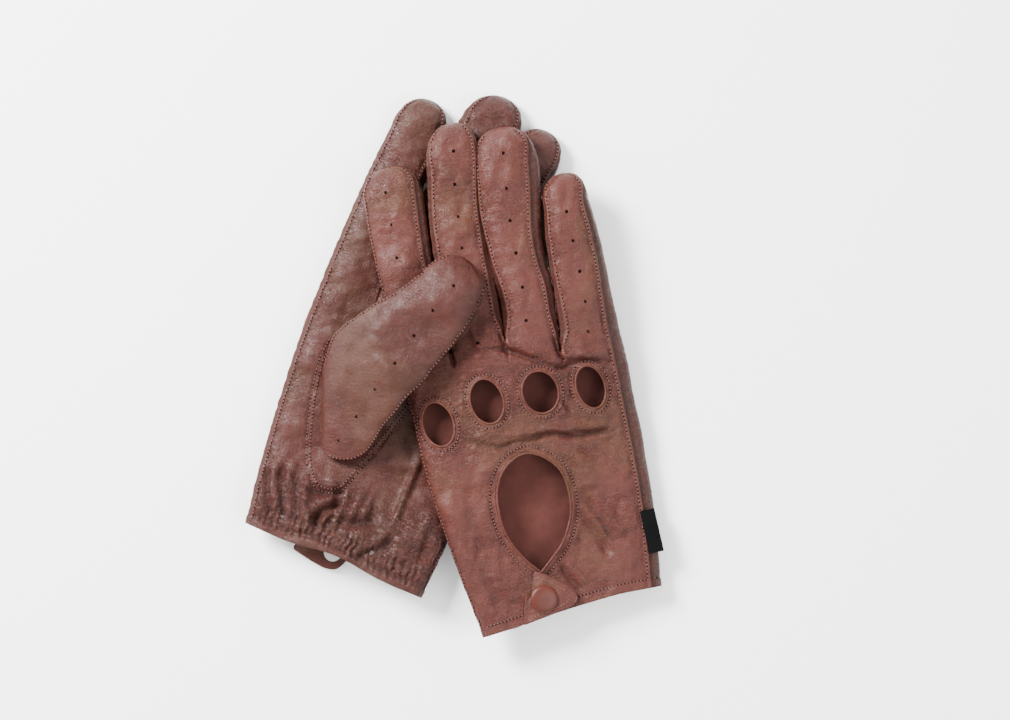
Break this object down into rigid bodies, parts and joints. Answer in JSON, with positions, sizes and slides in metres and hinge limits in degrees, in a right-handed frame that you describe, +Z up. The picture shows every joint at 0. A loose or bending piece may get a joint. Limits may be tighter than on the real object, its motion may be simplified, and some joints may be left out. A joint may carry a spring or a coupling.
{
  "type": "driving gloves",
  "caption": "Pair of short leather driving gloves lying crossed, one palm up and one back up, with open knuckles and a snap strap at each wrist.",
  "frame": {"origin": "middle of the pair's outline on the surface that it lies on", "axes": "+Z up off the surface, +Y towards the fingertips, +X towards the little-finger side of the upper glove"},
  "size_m": [0.2023, 0.2651, 0.0386],
  "materials": {
    "back_leather": "smooth nappa leather, warm mid brown, soft sheen",
    "palm_leather": "smooth nappa leather, slightly olive brown, soft sheen",
    "leather_inside": "unlined flesh side, reddish brown, matt",
    "snap_cap": "enamelled reddish brown, smooth",
    "snap_metal": "plain plated metal",
    "elastic": "flat woven elastic",
    "woven_label": "plain dark woven tape"
  },
  "bodies": {
    "left_hand": {"left_back_panel": "back_leather", "left_knuckle_facing": "leather_inside", "left_middle_index_side_strip": "palm_leather", "left_middle_ring_crotch_strip": "palm_leather", "left_opening_facing": "leather_inside", "left_palm_panel": "palm_leather", "left_ring_little_side_strip": "palm_leather", "left_snap_post": "snap_metal", "left_snap_stud": "snap_metal", "left_wrist_elastic": "elastic"},
    "right_hand": {"right_back_panel": "back_leather", "right_index_middle_crotch_strip": "palm_leather", "right_knuckle_facing": "leather_inside", "right_middle_ring_crotch_strip": "palm_leather", "right_opening_facing": "leather_inside", "right_palm_panel": "palm_leather", "right_ring_little_crotch_strip": "palm_leather", "right_side_label": "woven_label", "right_snap_post": "snap_metal", "right_snap_stud": "snap_metal", "right_wrist_elastic": "elastic"},
    "left_index": {"left_index_back": "back_leather", "left_index_little_side_strip": "palm_leather", "left_index_palm": "palm_leather"},
    "left_little": {"left_little_back": "back_leather", "left_little_index_side_strip": "palm_leather", "left_little_palm": "palm_leather"},
    "left_strap": {"left_closing_strap": "back_leather", "left_snap_cap": "snap_cap", "left_snap_socket": "snap_metal"},
    "left_thumb": {"left_thumb_back": "back_leather", "left_thumb_palm": "palm_leather"},
    "right_index": {"right_index_back": "back_leather", "right_index_little_side_strip": "palm_leather", "right_index_palm": "palm_leather"},
    "right_middle": {"right_middle_back": "back_leather", "right_middle_index_side_strip": "palm_leather", "right_middle_little_side_strip": "palm_leather", "right_middle_palm": "palm_leather"},
    "right_ring": {"right_ring_back": "back_leather", "right_ring_index_side_strip": "palm_leather", "right_ring_little_side_strip": "palm_leather", "right_ring_palm": "palm_leather"},
    "right_little": {"right_little_back": "back_leather", "right_little_index_side_strip": "palm_leather", "right_little_palm": "palm_leather"},
    "right_strap": {"right_closing_strap": "back_leather", "right_snap_cap": "snap_cap", "right_snap_socket": "snap_metal"},
    "right_thumb": {"right_thumb_back": "back_leather", "right_thumb_palm": "palm_leather"}
  },
  "joints": [
    {"name": "right_glove_slide", "type": "slide", "parent": "left_hand", "child": "right_hand", "axis": [0.94, -0.3412, 0], "range_m": [0, 0.12]},
    {"name": "left_index_spread", "type": "hinge", "parent": "left_hand", "child": "left_index", "pos_m": [-0.06225, 0.04781, 0.006], "axis": [0, 0, 1], "range_deg": [0, 12]},
    {"name": "left_little_spread", "type": "hinge", "parent": "left_hand", "child": "left_little", "pos_m": [0.02669, -0.00291, 0.006], "axis": [0, 0, -1], "range_deg": [0, 5]},
    {"name": "left_strap_open", "type": "hinge", "parent": "left_hand", "child": "left_strap", "pos_m": [-0.07478, -0.08335, 0.00224], "axis": [0.5737, 0.8191, -0.0011], "range_deg": [0, 150]},
    {"name": "left_thumb_swing", "type": "hinge", "parent": "left_hand", "child": "left_thumb", "pos_m": [-0.06337, -0.01949, 0.01283], "axis": [-0.0229, -0.9997, 0.0075], "range_deg": [0, 80]},
    {"name": "right_index_bend", "type": "hinge", "parent": "right_hand", "child": "right_index", "pos_m": [-0.02487, 0.05581, 0.0261], "axis": [0.9788, 0.2046, 0], "range_deg": [0, 50]},
    {"name": "right_middle_bend", "type": "hinge", "parent": "right_hand", "child": "right_middle", "pos_m": [0.00237, 0.05887, 0.0261], "axis": [0.9907, 0.136, 0], "range_deg": [0, 50]},
    {"name": "right_ring_bend", "type": "hinge", "parent": "right_hand", "child": "right_ring", "pos_m": [0.03026, 0.05718, 0.0261], "axis": [0.9881, 0.1537, 0], "range_deg": [0, 50]},
    {"name": "right_little_bend", "type": "hinge", "parent": "right_hand", "child": "right_little", "pos_m": [0.06095, 0.0466, 0.02438], "axis": [0.9763, 0.1684, -0.1361], "range_deg": [0, 50]},
    {"name": "right_strap_open", "type": "hinge", "parent": "right_hand", "child": "right_strap", "pos_m": [0.03719, -0.11056, 0.02089], "axis": [-0.0736, -0.9954, -0.0608], "range_deg": [0, 150]},
    {"name": "right_thumb_swing", "type": "hinge", "parent": "right_hand", "child": "right_thumb", "pos_m": [0.02582, -0.06464, 0.00035], "axis": [-0.4827, 0.8758, 0], "range_deg": [0, 80]}
  ]
}
